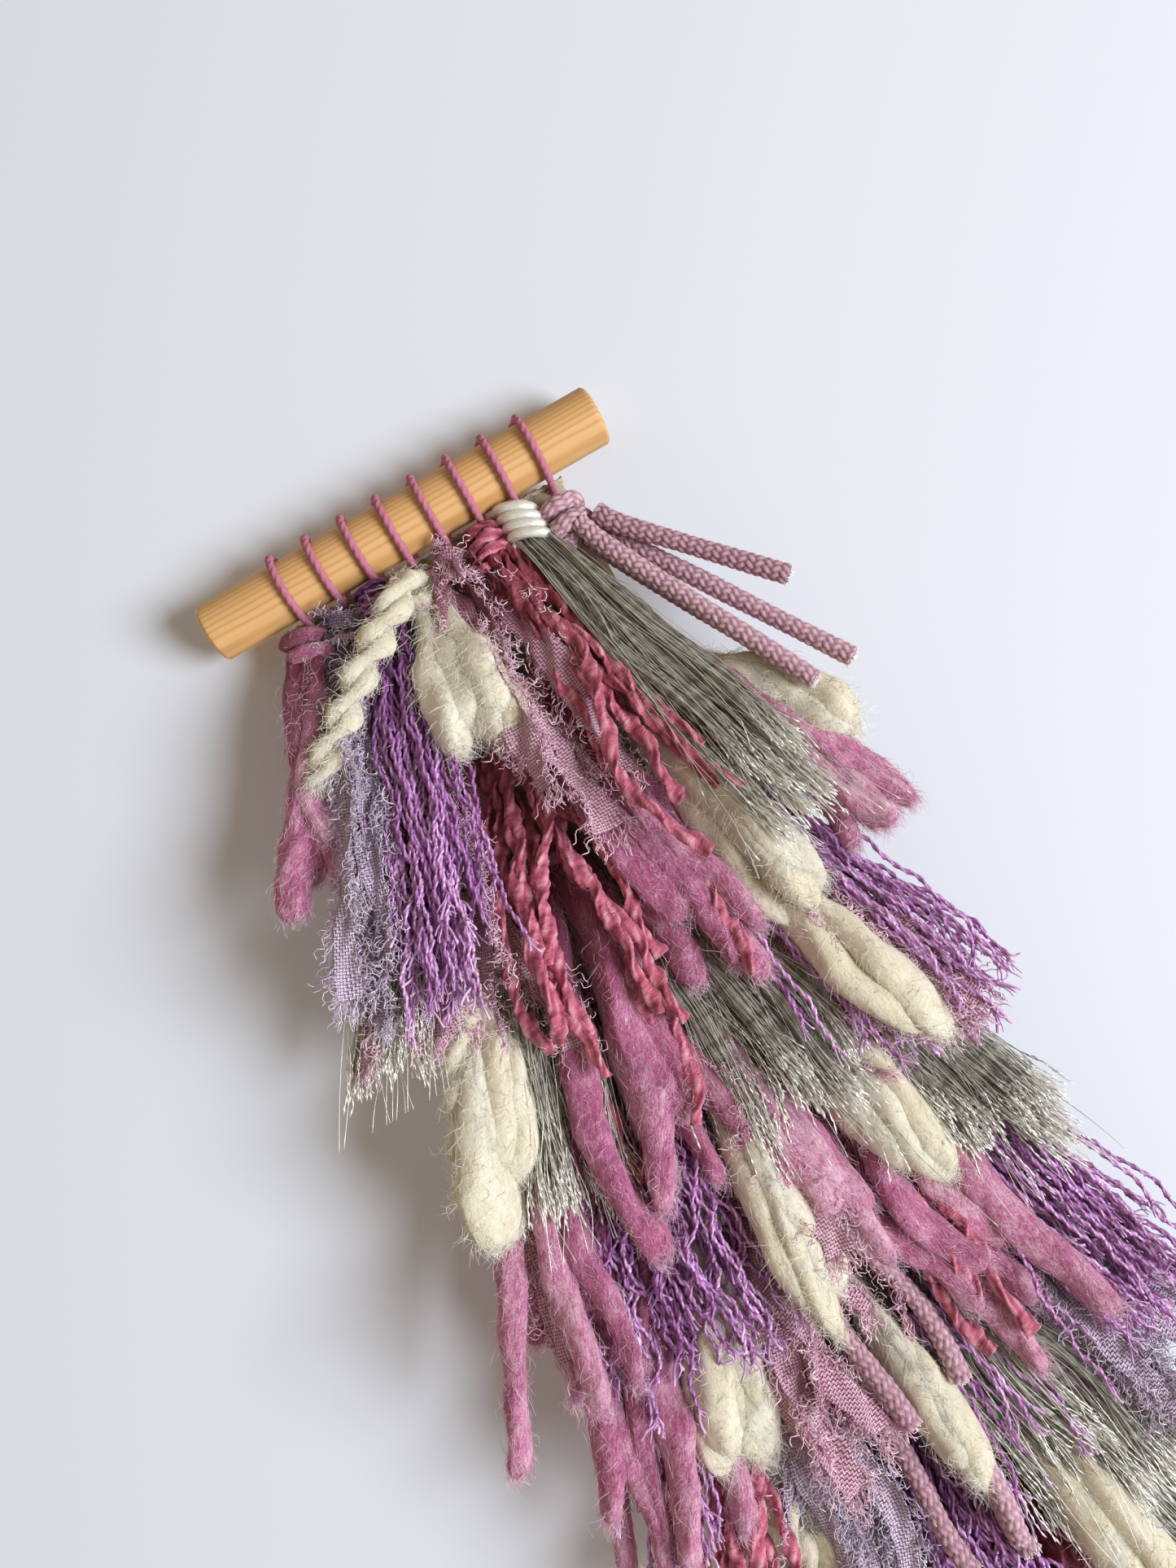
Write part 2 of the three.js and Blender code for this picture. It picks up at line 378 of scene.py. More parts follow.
def fibres(
    skein, rng, body, count, length, lift, thickness=0.085, curl=1.5, material=1, backward=0.2, bias=0.75
):
    """Fine wavy hairs that lie along swept tubes and stand a little off them. The smaller bias is,
    the more of them start near the tips."""
    amount, steps, sides = body.shape[:3]
    strand = rng.integers(0, amount, count)
    ring = 1 + ((steps - 3) * rng.random(count) ** bias).astype(int)
    side = rng.integers(0, sides, count)
    ahead = body[strand, ring + 1, side] - body[strand, ring, side]
    base = body[strand, ring, side] + ahead * rng.uniform(0, 1, (count, 1))
    ahead = unit(ahead) * np.where(rng.random((count, 1)) < backward, -1, 1)
    outward = unit(base - body[strand, ring].mean(axis=1))
    sideways = np.cross(ahead, outward)
    rise = rng.uniform(*lift, (count, 1))
    drift = rng.normal(0, 0.65, (count, 1))
    heading = unit(np.cos(rise) * ahead + np.sin(rise) * outward + drift * sideways)
    t = np.linspace(0, 1, 4)[None, :, None]
    size = rng.uniform(*length, (count, 1, 1))
    bow = rng.normal(0, 0.35, (count, 1, 1)) * np.sin(math.pi * t)
    kink = rng.normal(0, 0.25, (count, 1, 1)) * np.sin(TAU * t)
    sink = rng.uniform(0.0, 0.6, (count, 1, 1)) * size * np.sin(rise)[:, None] * t * t
    paths = (base - 0.25 * outward)[:, None] + size * t * heading[:, None]
    paths = paths + curl * size**0.5 * (bow + kink) * sideways[:, None] - sink * outward[:, None]
    radii = thickness * (1 - 0.6 * t[..., 0]) * np.ones((count, 1))
    skein.tubes(paths, radii, circle(3), rng.random(count), material, reference=ASKEW)


def round_ends(t, first, last):
    """A radius profile from 0 to 1 that closes round over those shares of the length at its two ends."""
    head = np.clip(t / first, 0.02, 1) if first else np.ones_like(t)
    tail = np.clip((1 - t) / last, 0.004, 1)
    return np.sqrt(1 - (1 - head) ** 2) * np.sqrt(1 - (1 - tail) ** 2)


def add_soft(skein, rng, paths, radii, hairs, length, lift, turn=150.0, flat=0.9, sides=22, lumps=1.0):
    """Brushed wool: a soft, combed, slightly flattened strand under fine hairs, with more at its tip.
    length and lift are the least and the most of a hair's length and of its angle to the strand."""
    amount = len(paths)
    angles = corner_angles(sides)
    rise = path_lengths(paths)
    waves = [(1, 27, 0.07), (2, 31, 0.06), (3, 41, 0.05), (5, 61, 0.03), (0, 17, 0.06)]
    shape = 1 + lumps * harmonics(rng, amount, rise[..., None], angles, waves)
    combed = TAU * rise[..., None] / 34
    shape = shape + 0.03 * lumps * np.cos(combed) * rng.normal(0, 1, (amount, 1, sides))
    shape = shape + 0.03 * lumps * np.sin(combed) * rng.normal(0, 1, (amount, 1, sides))
    section = shape[..., None] * circle(sides) * np.array([1.0, flat])
    spin = TAU * rise / turn
    body = skein.tubes(paths, radii, section, rng.uniform(0.2, 0.8, amount), spin=spin)
    fibres(skein, rng, body, hairs, length, lift)
    fibres(skein, rng, body, hairs // 6, (2.5, 6.5), (0.0, 0.5), backward=0.0, bias=0.05)


def crimped(rng, paths, size, wavelength):
    """The paths with small irregular waves across them."""
    across, square = section_frames(paths, (1, 0, 0))
    rise = path_lengths(paths)
    for side in (across, square):
        phase = rng.uniform(0, TAU, (len(paths), 1))
        pace = rng.uniform(0.8, 1.25, (len(paths), 1)) * TAU / wavelength
        wave = np.sin(pace * rise + phase) + 0.5 * np.sin(1.9 * pace * rise + 2 * phase)
        paths = paths + size * (np.clip(rise / 20, 0, 1) * wave)[..., None] * side
    return paths


def add_yarn(skein, rng, paths, radius=0.95, pitch=8.5):
    """Two plies twisted round each other."""
    amount = len(paths)
    sides = 6
    angles = corner_angles(sides)
    corners = (0.76 + 0.24 * np.cos(2 * angles))[:, None] * circle(sides)
    turn = TAU * path_lengths(paths) / pitch + rng.uniform(0, 6.28, (amount, 1))
    skein.tubes(paths, radius, corners, rng.random(amount), spin=turn)


def add_skein(skein, rng, paths, radius, material):
    """A thick glossy skein: many fine parallel threads, slowly twisting."""
    amount = len(paths)
    sides = 36
    angles = corner_angles(sides)
    corners = (1 + 0.05 * np.cos(12 * angles) + 0.04 * np.cos(2 * angles))[:, None] * circle(sides)
    turn = TAU * path_lengths(paths) / 32
    skein.tubes(paths, radius, corners, rng.random(amount), material, spin=turn)


def add_ribbon(skein, rng, paths, radius=2.3):
    """Crinkled ribbon: twisted and gathered into a puckered band with scalloped edges."""
    amount = len(paths)
    sides = 16
    angles = corner_angles(sides)
    rise = path_lengths(paths)[..., None]
    phase = rng.uniform(0, TAU, (amount, 1, 1))
    beat = TAU * rise / 8.0 + phase + np.sin(rise / 11 + phase)
    pinch = 1 + 0.05 * np.sin(beat) - 0.14 * np.exp(-4 * (1 + np.cos(beat)))
    folds = 0.12 * np.cos(3 * angles - 0.5 * beat) + 0.07 * np.cos(5 * angles + 0.35 * beat)
    scallop = 0.07 * np.cos(angles) ** 4 * np.sin(2 * beat + 2 * phase + 3 * np.cos(angles))
    wrinkle = 0.03 * np.sin(5 * beat + 2 * np.sin(2 * angles + beat)) * (1 + np.sin(angles + 0.4 * beat))
    shape = pinch * (1 + folds + wrinkle + scallop)
    section = shape[..., None] * circle(sides) * np.array([1.15, 0.62])
    # Painted highlight and shade: the tone is lighter on the ribbon's ridges and darker in its creases.
    tone = 0.5 + 0.5 * np.clip((folds + wrinkle + pinch - 1) * 4.5, -1, 1)
    spin = TAU * rise[..., 0] / 41 + 0.5 * np.sin(rise[..., 0] / 6 + phase[..., 0])
    skein.tubes(paths, radius, section, tone, spin=spin)


def add_thread(skein, rng, paths, t, radius=0.15, bead_from=0.86):
    """Fine metallic thread: smooth and grey, then crinkled and beaded near its cut tip, where its
    material paints a bright glint.
    """
    amount, steps = paths.shape[:2]
    free = np.clip((t - bead_from) / 0.04, 0, 1)
    odd = np.where(np.arange(steps) % 2, 1.0, -1.0)
    beads = 1 + free * (0.85 + 0.85 * odd)
    jitter = rng.normal(0, 0.14, paths.shape) * free[None, :, None]
    skein.tubes(paths + jitter, radius * beads, circle(3), rng.random(amount))


def curls(skein, rng, base, heading, side, length, curl, turns, radius=0.2, material=1, steps=7):
    """Loose curly threads that start at base and go out along heading."""
    amount = len(base)
    t = np.linspace(0, 1, steps)[None, :, None]
    size = rng.uniform(*length, (amount, 1, 1))
    wide = rng.uniform(*curl, (amount, 1, 1)) * np.minimum(1, 2.2 * t)
    phase = rng.uniform(0, TAU, (amount, 1, 1))
    angle = phase + TAU * rng.uniform(*turns, (amount, 1, 1)) * t
    other = np.cross(heading, side)
    loop = np.cos(angle) * side[:, None] + np.sin(angle) * other[:, None]
    start = np.cos(phase) * side[:, None] + np.sin(phase) * other[:, None]
    paths = base[:, None] + size * t * heading[:, None] + wide * (loop - 0.6 * start)
    shrink = radius * rng.uniform(0.75, 1.2, (amount, 1)) * (1 - 0.1 * t[..., 0])
    skein.tubes(paths, shrink, circle(3), rng.random(amount), material, reference=ASKEW)


def random_side(rng, heading):
    return unit(np.cross(heading, rng.normal(0, 1, heading.shape)))


def add_strip(skein, rng, paths, width, fray, ragged):
    """A torn woven strip, cupped and twisting, with curly threads along both edges and its end.
    fray is how many there are for each millimetre of edge, and ragged makes the longest longer."""
    amount, steps = paths.shape[:2]
    columns = 9
    share = np.linspace(-1, 1, columns)
    rise = path_lengths(paths)
    phase = rng.uniform(0, TAU, (amount, 1))
    cup = 0.4 * np.sin(rise / 15 + phase) + 0.3
    ripple = 0.13 * np.sin(rise[..., None] / 2.6 + 4 * share + phase[..., None])
    front = cup[..., None] * (share**2 - 0.4) + ripple
    cloth = 0.7 / width
    a = np.broadcast_to(np.concatenate([share, share[::-1]]), (amount, steps, 2 * columns))
    b = np.concatenate([front - cloth / 2, (front + cloth / 2)[..., ::-1]], axis=-1)
    edge_waver = 1 + 0.12 * np.sin(rise / 4.1 + 2 * phase) + rng.normal(0, 0.04, rise.shape)
    spin = 0.8 * np.sin(rise / 27 + phase) + 0.35 * np.sin(rise / 9 + 2 * phase)
    wide = np.concatenate([share, share[::-1], share[:1]]) * width / 2
    section = np.stack([a, b], axis=-1)
    tones = rng.uniform(0.3, 0.7, amount)
    body = skein.tubes(paths, edge_waver * width / 2, section, tones, spin=spin, wide=wide)
    count = int(fray * rise[:, -1].mean() * amount)
    for edge, sign in ((0, -1), (columns - 1, 1)):
        strand = rng.integers(0, amount, count)
        ring = 2 + ((steps - 3) * rng.random(count) ** 0.8).astype(int)
        base = body[strand, ring, edge] + rng.normal(0, 0.4, (count, 3))
        across = unit(body[strand, ring, columns - 1] - body[strand, ring, 0]) * sign
        ahead = unit(body[strand, ring, edge] - body[strand, ring - 1, edge])
        pull = rng.normal(1.5, 0.8, (count, 1))
        heading = unit(across + ahead * pull + rng.normal(0, 0.5, base.shape))
        side = random_side(rng, heading)
        length = (3.0, 9.0 * ragged)
        curls(skein, rng, base, heading, side, length, (0.4, 1.4), (1.0, 2.4), radius=0.18, steps=9)
    ends = np.repeat(np.arange(amount), 26)
    base = body[ends, -1, rng.integers(0, columns, len(ends))]
    ahead = unit(body[ends, -1, 0] - body[ends, -3, 0])
    heading = unit(ahead + rng.normal(0, 0.3, base.shape))
    curls(skein, rng, base, heading, random_side(rng, heading), (4.0, 10.0), (0.3, 1.1), (0.8, 2.0))


def add_braid(skein, rng, paths, radius=3.3, core=True):
    """Round braided cord: strands that go over two and under two, with a cut core at the end."""
    amount = len(paths)
    sides, strands, pitch = 64, 8, 22.0
    angles = corner_angles(sides)
    rise = path_lengths(paths)[..., None]
    phase = rng.uniform(0, 1, (amount, 1, 1))
    one = strands * (angles / TAU + rise / pitch) + phase
    two = strands * (angles / TAU - rise / pitch) - phase
    arch_one = np.sqrt(1 - 0.96 * (2 * (one % 1) - 1) ** 2)
    arch_two = np.sqrt(1 - 0.96 * (2 * (two % 1) - 1) ** 2)
    over = (np.floor(one) - np.floor(two)) % 4 < 2
    part_one = (np.floor(one) - two + 1) % 4 / 2
    part_two = (one - np.floor(two) - 2) % 4 / 2
    stitch_one = arch_one * np.abs(np.sin(math.pi * part_one)) ** 0.5
    stitch_two = arch_two * np.abs(np.sin(math.pi * part_two)) ** 0.5
    height = np.where(over, stitch_one, stitch_two)
    shape = 0.78 + 0.22 * height
    shape = shape * (1 + 0.04 * np.sin(rise / 8 + 6 * phase))
    # Painted highlight and shade: lighter where a strand lies on top and darker between strands, with a
    # little random tone for each cord.
    tone = 0.15 + 0.7 * height + rng.uniform(-0.1, 0.1, (amount, 1, 1))
    body = skein.tubes(paths, radius, shape[..., None] * circle(sides), tone)
    fibres(skein, rng, body, 220 * amount, (0.8, 2.4), (0.3, 1.1), thickness=0.045, curl=0.3)
    if core:
        add_core(skein, rng, body, radius)


def add_core(skein, rng, body, radius):
    """The pale filling threads that show at a braided cord's cut end."""
    centre = body[:, -1].mean(axis=1)
    ahead = unit(centre - body[:, -4].mean(axis=1))
    which = np.repeat(np.arange(len(body)), 46)
    away = rng.normal(0, radius * 0.34, (len(which), 3))
    away = away - (away * ahead[which]).sum(-1, keepdims=True) * ahead[which]
    base = centre[which] + away - 0.8 * ahead[which]
    heading = unit(ahead[which] + away * 0.12)
    side = random_side(rng, heading)
    length, wide, turns = (1.2, 2.2), (0.05, 0.2), (0.2, 0.6)
    curls(skein, rng, base, heading, side, length, wide, turns, radius=0.24, material=2, steps=5)


# ---------- tassels ----------

def even(rng, count, jitter=0.35):
    """Places from -1 to 1, one for each strand, not quite even."""
    spots = (np.arange(count) + 0.5) / count * 2 - 1
    return spots + rng.uniform(-jitter, jitter, count) / count * 2


def layered(rng, count):
    return rng.permutation(np.linspace(-1, 1, count))


def wool_tassel(place, rng):
    skein = Skein()
    across = max(3, round(2 * place.tip_half / 10.0))
    t = np.concatenate([np.linspace(0, 0.9, 30), [0.93, 0.955, 0.975, 0.99, 1.0]])
    for layer, count in ((-0.8, across - 1), (0.9, across)):
        lengths = place.length * rng.uniform(0.68, 1.0, count)
        shares = even(rng, count, 0.6) * 1.08
        layers = layer + rng.normal(0, 0.4, count)
        paths = fan(place, rng, shares, layers, lengths, t, sway=3.2, strays=0.12)
        thick = rng.uniform(4.8, 6.5, (count, 1)) * (0.55 + 0.45 * np.minimum(1, 3 * t))
        waver = 1 + wander(rng, count, t, 0.08)
        blunt = 1 - 0.15 * np.clip((t - 0.7) / 0.3, 0, 1)
        radii = thick * waver * blunt * round_ends(t, 0, 0.055)
        add_soft(skein, rng, paths, radii, WOOL_HAIRS * count, (2.5, 8.5), (0.0, 0.6), flat=0.72)
    wraps = knot_helix("wool", place, place.neck * 0.85)
    add_soft(skein, rng, wraps, 2.9, KNOT_HAIRS, (2, 5), (0.2, 0.8))
    return skein


def roving_tassel(place, rng, count=None, slub=None, tied=True):
    """Unspun wool: one to three soft puffs of three loose locks each. With slub there is a twisted
    strand as well, whose tip is that far to the right of the knot."""
    skein = Skein()
    t = np.concatenate([np.linspace(0, 0.84, 24), [0.88, 0.92, 0.95, 0.975, 0.99, 1.0]])
    count = count or (2 if place.tip_half < 22 else 3)
    locks = 3
    lengths = np.repeat(place.length * rng.uniform(0.74, 0.98, count), locks)
    lengths = lengths * rng.uniform(0.88, 1.0, count * locks)
    shares = np.repeat(even(rng, count) * 0.8 + (0.35 if slub else 0.0), locks)
    middle = np.repeat(rng.uniform(0.42, 0.5, count), locks)[:, None]
    puff = 1 / (1 + np.exp((middle - t) / 0.07))
    size = np.repeat(rng.uniform(12.5, 14.5, count), locks)[:, None]
    apart = np.tile(np.linspace(-0.55, 0.55, locks), count)[:, None] * size * puff * (1 - 0.5 * t**8)
    shares = shares[:, None] + 0.55 * apart / place.tip_half
    layers = rng.normal(0.2, 0.5, count * locks)
    paths = fan(place, rng, shares, layers, lengths, t, sway=1.2, spread=0.9)
    waver = 1 + wander(rng, count * locks, t, 0.08)
    radii = size * waver * (0.19 + 0.53 * puff) * round_ends(t, 0, 0.17)
    hairs, length, lift = ROVING_HAIRS * count, (3, 10), (0.05, 1.1)
    add_soft(skein, rng, paths, radii, hairs, length, lift, turn=300, flat=0.64, sides=24, lumps=0.8)
    if slub:
        fine = np.linspace(0, 1, 90)
        x = place.root_x + slub * fine + wander(rng, 1, fine, 2.0)[0]
        out = place.forward + 6.0 + 3.0 * np.sin(math.pi * fine)
        add_slub(skein, rng, spot(place.row, x, 0.72 * place.length * fine - 1, out)[None])
    if tied:
        wraps = knot_helix("roving", place, place.neck * 0.7)
        add_soft(skein, rng, wraps, 3.5, KNOT_HAIRS, (3, 6), (0.1, 0.5))
    return skein


def add_slub(skein, rng, path, radius=5.6):
    """A strand of roving overtwisted into soft beads, each wound about the next."""
    rise = path_lengths(path)
    t = rise / rise[:, -1:]
    across, square = section_frames(path, (1, 0, 0))
    for half in (0, math.pi):
        angle = TAU * rise / 26 + half
        offset = np.cos(angle)[..., None] * across + np.sin(angle)[..., None] * square
        swell = 0.78 + 0.22 * np.cos(2 * angle + 0.6)
        strand = path + offset * radius * 0.42
        radii = radius * 0.78 * swell * (1 - 0.25 * t[0]) * round_ends(t[0], 0.02, 0.05)
        add_soft(skein, rng, strand, radii, SLUB_HAIRS, (2.5, 8), (0.05, 0.8), turn=90, lumps=0.6)


def yarn_tassel(place, rng, count=80, frizz=False, tied=True):
    skein = Skein()
    t = np.linspace(0, 1, 88)
    pairs = rng.permutation(np.repeat(np.arange(count // 2), 2))
    shares = even(rng, count // 2, 1.0)[pairs] * 1.12 + rng.normal(0, 0.07, count)
    layers = layered(rng, count // 2)[pairs] + rng.normal(0, 0.2, count)
    lengths = place.length * (0.7 + 0.26 * rng.random(count // 2)[pairs] + rng.uniform(0, 0.05, count))
    paths = fan(place, rng, shares, layers, lengths, t, sway=4.4 if frizz else 3.2, strays=0.2)
    paths = crimped(rng, paths, 1.1 if frizz else 0.55, 20)
    add_yarn(skein, rng, paths)
    for amount, length, radius in ((2, (4.0, 8.0), 0.5), (3, (2.0, 8.0), 0.24)):
        tips = np.repeat(np.arange(count), amount)
        base = paths[tips, -2] + rng.normal(0, 0.25, (len(tips), 3))
        ahead = unit(paths[tips, -1] - paths[tips, -4])
        heading = unit(ahead + rng.normal(0, 0.34, base.shape))
        wide = (0.2, 1.0 if frizz else 0.6)
        side = random_side(rng, heading)
        curls(skein, rng, base, heading, side, length, wide, (0.3, 1.0), radius, steps=5)
    if tied:
        wraps = knot_helix("yarn", place, place.neck * 0.85)
        add_yarn(skein, rng, wraps, radius=1.25, pitch=7.0)
    return skein


def linen_tassel(place, rng, count=5, width=9.8, fray=0.95, ragged=1.0, tied=True):
    skein = Skein()
    t = np.linspace(0, 1, 64)
    lengths = place.length * rng.uniform(0.66, 0.97, count)
    shares = even(rng, count, 0.9) * 1.05
    paths = fan(place, rng, shares, layered(rng, count), lengths, t, sway=4.6, spread=0.95, strays=0.2)
    add_strip(skein, rng, paths, width, fray, ragged)
    if tied:
        fold = knot_helix("linen", place, place.neck * 0.75)
        add_strip(skein, rng, fold, width=5.5, fray=1.0, ragged=0.7)
    return skein


def shaggy_linen_tassel(place, rng, count=6, tied=True):
    return linen_tassel(place, rng, count, width=7.2, fray=1.35, ragged=1.15, tied=tied)


def ribbon_tassel(place, rng, count=10, tied=True):
    skein = Skein()
    t = np.linspace(0, 1, 200)
    lengths = place.length * rng.uniform(0.68, 1.02, count)
    paths = fan(place, rng, even(rng, count, 1.1), layered(rng, count), lengths, t, sway=4.2, strays=0.3)
    add_ribbon(skein, rng, crimped(rng, paths, 0.5, 24))
    if tied:
        wraps = knot_helix("ribbon", place, place.neck * 0.8)
        add_ribbon(skein, rng, wraps, 1.95)
    return skein


def thread_tassel(place, rng, count=520, spread=1.0):
    """Hanks of fine thread that part towards their tips, where each one flares like a brush."""
    skein = Skein()
    t = np.concatenate([np.linspace(0, 0.86, 10), np.linspace(0.873, 1, 11)])
    hanks = 12
    hank = rng.integers(0, hanks, count)
    flare = 0.05 + 0.12 * t**4
    shares = even(rng, hanks, 0.8)[hank][:, None] + rng.normal(0, 1, (count, 1)) * flare
    lengths = 0.72 + 0.24 * rng.random(hanks)[hank] + rng.normal(0, 0.025, count)
    layers = layered(rng, hanks)[hank] * 0.8 + rng.normal(0, 0.3, count)
    sway = wander(rng, hanks, t, 3.0 * spread)[hank]
    lengths = place.length * np.minimum(lengths, 1.0)
    paths = fan(place, rng, shares, layers, lengths, t, sway=1.1, spread=spread, strays=0.03)
    paths[..., 0] += sway
    add_thread(skein, rng, crimped(rng, paths, 0.4, 27), t)
    loose = 14
    layers = np.full(loose, 1.3)
    lengths = np.full(loose, place.length)
    stray = fan(place, rng, even(rng, loose), layers, lengths, t, sway=4.0, strays=0.6)
    add_thread(skein, rng, stray, t, radius=0.12, bead_from=2.0)
    wraps = knot_helix("thread", place, place.neck * 0.85)
    add_skein(skein, rng, wraps, 1.8, material=1)
    return skein


def braid_tassel(place, rng, count=3):
    skein = Skein()
    t = np.linspace(0, 1, 140)
    lengths = place.length * rng.uniform(0.7, 0.98, count)
    shares = even(rng, count)
    paths = fan(place, rng, shares, layered(rng, count) * 0.8, lengths, t, sway=3.0, spread=0.9)
    add_braid(skein, rng, paths)
    wraps = knot_helix("braid", place, place.neck * 0.7)
    add_braid(skein, rng, wraps, 3.0, core=False)
    return skein


# ---------- materials ----------

def set_inputs(node, settings):
    for name, value in settings.items():
        node.inputs[name].default_value = value


def mix_shaders(tree, share, one, two, output):
    choice = tree.nodes.new("ShaderNodeMixShader")
    for source, socket in zip((share, one, two), choice.inputs):
        tree.links.new(source, socket)
    tree.links.new(choice.outputs[0], tree.nodes[output].inputs["Surface"])


# Millimetres between two threads of linen, and metres for the dowel's growth rings.
LINEN_THREAD_PITCH = 0.95
RING_WIDTH = 0.0017
PITH_OFFSET = (0.0, 0.034, 0.052)


def colour(text):
    """A linear colour from a web colour."""
    values = [int(text[at:at + 2], 16) / 255 for at in (0, 2, 4)]
    return [v / 12.92 if v <= 0.04045 else ((v + 0.055) / 1.055) ** 2.4 for v in values] + [1.0]


class Shader:
    """One material's nodes."""

    def __init__(self, name, roughness, sheen=0.0, sheen_tint="ffffff", metallic=0.0):
        self.material = bpy.data.materials.new(name)
        self.material.use_nodes = True
        self.tree = self.material.node_tree
        self.surface = self.tree.nodes["Principled BSDF"]
        set_inputs(self.surface, {"Roughness": roughness, "Metallic": metallic, "Sheen Weight": sheen})
        set_inputs(self.surface, {"Sheen Roughness": 0.45, "Sheen Tint": colour(sheen_tint)})

    def node(self, kind, **settings):
        made = self.tree.nodes.new(kind)
        for key, value in settings.items():
            setattr(made, key, value)
        return made

    def put(self, value, socket):
        if hasattr(value, "is_output"):
            self.tree.links.new(value, socket)
        else:
            socket.default_value = value

    def math(self, operation, a, b=0.0, c=0.0):
        made = self.node("ShaderNodeMath", operation=operation)
        for value, socket in zip((a, b, c), made.inputs):
            self.put(value, socket)
        return made.outputs[0]

    def total(self, *parts):
        """The sum of some values, each given with its weight."""
        value, weight = parts[0]
        result = self.math("MULTIPLY", value, weight)
        for value, weight in parts[1:]:
            result = self.math("MULTIPLY_ADD", value, weight, result)
        return result

    def attribute(self, name):
        return self.node("ShaderNodeAttribute", attribute_name=name).outputs["Fac"]

    def scaled(self, vector, scale):
        mapping = self.node("ShaderNodeMapping")
        set_inputs(mapping, {"Scale": scale})
        self.put(vector, mapping.inputs["Vector"])
        return mapping.outputs[0]

    def strand(self, scale_u, scale_v):
        """Coordinates round and along a strand, each to its own scale."""
        return self.scaled(self.node("ShaderNodeUVMap", uv_map="yarn").outputs[0], (scale_u, scale_v, 1))

    def place(self, scale=(1, 1, 1)):
        """The piece's own coordinates, in metres times scale."""
        return self.scaled(self.node("ShaderNodeTexCoord").outputs["Object"], scale)

    def noise(self, vector, scale, detail=3.0, roughness=0.6, distortion=0.0):
        made = self.node("ShaderNodeTexNoise")
        set_inputs(made, {"Scale": scale, "Detail": detail, "Roughness": roughness})
        set_inputs(made, {"Distortion": distortion})
        self.put(vector, made.inputs["Vector"])
        return made.outputs["Fac"]

    def ramp(self, value, *stops):
        made = self.node("ShaderNodeValToRGB")
        points = made.color_ramp.elements
        while len(points) < len(stops):
            points.new(0.5)
        for point, (at, text) in zip(points, stops):
            point.position = at
            point.color = colour(text)
        self.put(value, made.inputs["Fac"])
        return made.outputs["Color"]

    def mix(self, share, one, two, blend="MIX"):
        made = self.node("ShaderNodeMix", data_type="RGBA", blend_type=blend)
        for value, socket in ((share, made.inputs[0]), (one, made.inputs[6]), (two, made.inputs[7])):
            self.put(value, socket)
        return made.outputs[2]

    def painted_root_shade(self, base, root_shade):
        """Painted shade: the base colour darkened towards the root of each strand, where light doesn't
        reach.
        """
        shade = self.ramp(self.attribute("along"), (0.1, root_shade), (0.62, "ffffff"))
        return self.mix(1.0, base, shade, "MULTIPLY")

    def finish(self, base, height=None, distance=0.0003, strength=0.6, roughness=None):
        self.put(base, self.surface.inputs["Base Color"])
        if roughness is not None:
            self.put(roughness, self.surface.inputs["Roughness"])
        if height is not None:
            bump = self.node("ShaderNodeBump")
            set_inputs(bump, {"Strength": strength, "Distance": distance})
            self.put(height, bump.inputs["Height"])
            self.put(bump.outputs[0], self.surface.inputs["Normal"])
        return self.material


def soft_fibre(name, dark, middle, light, sheen=0.7, soft=0.0, root_shade="ffffff"):
    """Matt combed fibre: fine wavering streaks along the strand, blotches, and light let into it."""
    look = Shader(name, 0.9, sheen, light)
    set_inputs(look.surface, {"Subsurface Weight": soft, "Subsurface Scale": 0.003})
    set_inputs(look.surface, {"Subsurface Radius": (1.0, 0.7, 0.6)})
    streaks = look.noise(look.strand(46, 0.3), 1.0, 5.0, 0.75, 1.2)
    wisps = look.noise(look.place(), 900.0, 3.0, 0.7, 2.0)
    blotches = look.noise(look.place(), 130.0, 2.0)
    value = look.total((streaks, 0.5), (look.attribute("tone"), 0.16), (wisps, 0.3), (blotches, 0.25))
    base = look.ramp(value, (0.42, dark), (0.58, middle), (0.74, light))
    # Painted shade: darker towards each strand's root, in the given root shade colour.
    return look.finish(look.painted_root_shade(base, root_shade), look.math("ADD", streaks, wisps), 0.0007, 0.8)


def plied(name, dark, middle, light, root_shade):
    """Twisted yarn: a painted highlight on the crowns and painted shade in the furrows between its
    plies, and fine fibres.
    """
    look = Shader(name, 0.4, 0.25, light)
    around = look.node("ShaderNodeSeparateXYZ")
    look.put(look.strand(4 * math.pi, 1.0), around.inputs[0])
    # Painted highlight and shade: lighter on each ply's crown, darker in the furrows between the plies.
    painted_ply_shade = look.math("MULTIPLY_ADD", look.math("COSINE", around.outputs[0]), 0.5, 0.5)
    fine = look.noise(look.strand(14, 1.1), 1.0, 2.0)
    value = look.total((painted_ply_shade, 0.35), (look.attribute("tone"), 0.3), (fine, 0.4))
    base = look.ramp(value, (0.15, dark), (0.5, middle), (0.85, light))
    # Painted shade: darker towards each strand's root, in the given root shade colour.
    return look.finish(look.painted_root_shade(base, root_shade), fine, 0.0002, 0.5)


def loose_thread(name, dark, light):
    """Single curly threads pulled out of cloth."""
    look = Shader(name, 0.85, 0.2, light)
    value = look.total((look.attribute("along"), 0.3), (look.attribute("tone"), 0.7))
    return look.finish(look.ramp(value, (0.1, dark), (0.9, light)))


